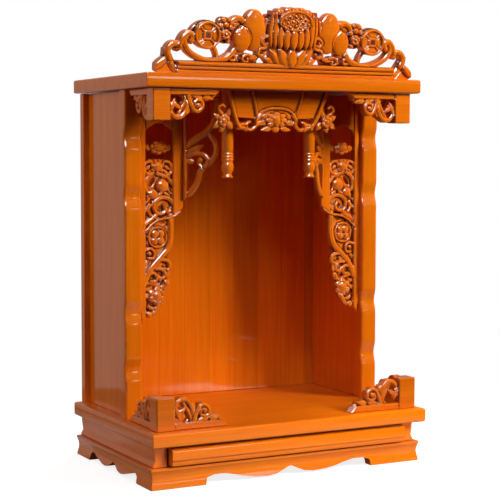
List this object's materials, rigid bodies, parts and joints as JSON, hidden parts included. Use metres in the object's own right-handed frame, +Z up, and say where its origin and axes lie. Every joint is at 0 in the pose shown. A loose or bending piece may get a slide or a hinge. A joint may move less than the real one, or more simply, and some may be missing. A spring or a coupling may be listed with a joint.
{
  "type": "household altar cabinet",
  "caption": "Open-fronted household altar cabinet in glossy orange lacquered wood, with a carved crest, carved brackets and strips round the shrine and a drawer in the plinth.",
  "frame": {"origin": "floor level under the middle of the floor slab, which is the bottom centre of the bounding box", "axes": "+Z up, -Y towards the open front, +X to the right of someone facing the shrine"},
  "size_m": [0.482, 0.32, 0.7209],
  "materials": {
    "lacquered_board": "gloss",
    "lacquered_carving": "gloss",
    "lacquered_inside": "gloss"
  },
  "bodies": {
    "cabinet": {"apron_front": "lacquered_board", "apron_back": "lacquered_board", "apron_left": "lacquered_board", "apron_right": "lacquered_board", "bottom_board": "lacquered_inside", "rail_left": "lacquered_board", "rail_right": "lacquered_board", "rail_back": "lacquered_board", "floor_slab": "lacquered_board", "roof_slab": "lacquered_board", "stile_left": "lacquered_board", "stile_right": "lacquered_board", "side_panel_left": "lacquered_board", "side_panel_right": "lacquered_board", "back_board": "lacquered_inside", "crest": "lacquered_carving", "upper_bracket_left_front": "lacquered_carving", "upper_bracket_left_side": "lacquered_carving", "upper_bracket_right_front": "lacquered_carving", "upper_bracket_right_side": "lacquered_carving", "lower_bracket_left_front": "lacquered_carving", "lower_bracket_left_side": "lacquered_carving", "lower_bracket_right_front": "lacquered_carving", "lower_bracket_right_side": "lacquered_carving", "carved_strip_left": "lacquered_carving", "carved_strip_right": "lacquered_carving", "valance": "lacquered_carving", "pendant_left": "lacquered_board", "pendant_right": "lacquered_board", "hanging_bracket_left": "lacquered_carving", "hanging_bracket_right": "lacquered_carving"},
    "drawer": {"drawer_front": "lacquered_board", "drawer_tray": "lacquered_inside"}
  },
  "joints": [
    {"name": "drawer_slide", "type": "slide", "parent": "cabinet", "child": "drawer", "axis": [0, -1, 0], "range_m": [0, 0.18]}
  ]
}
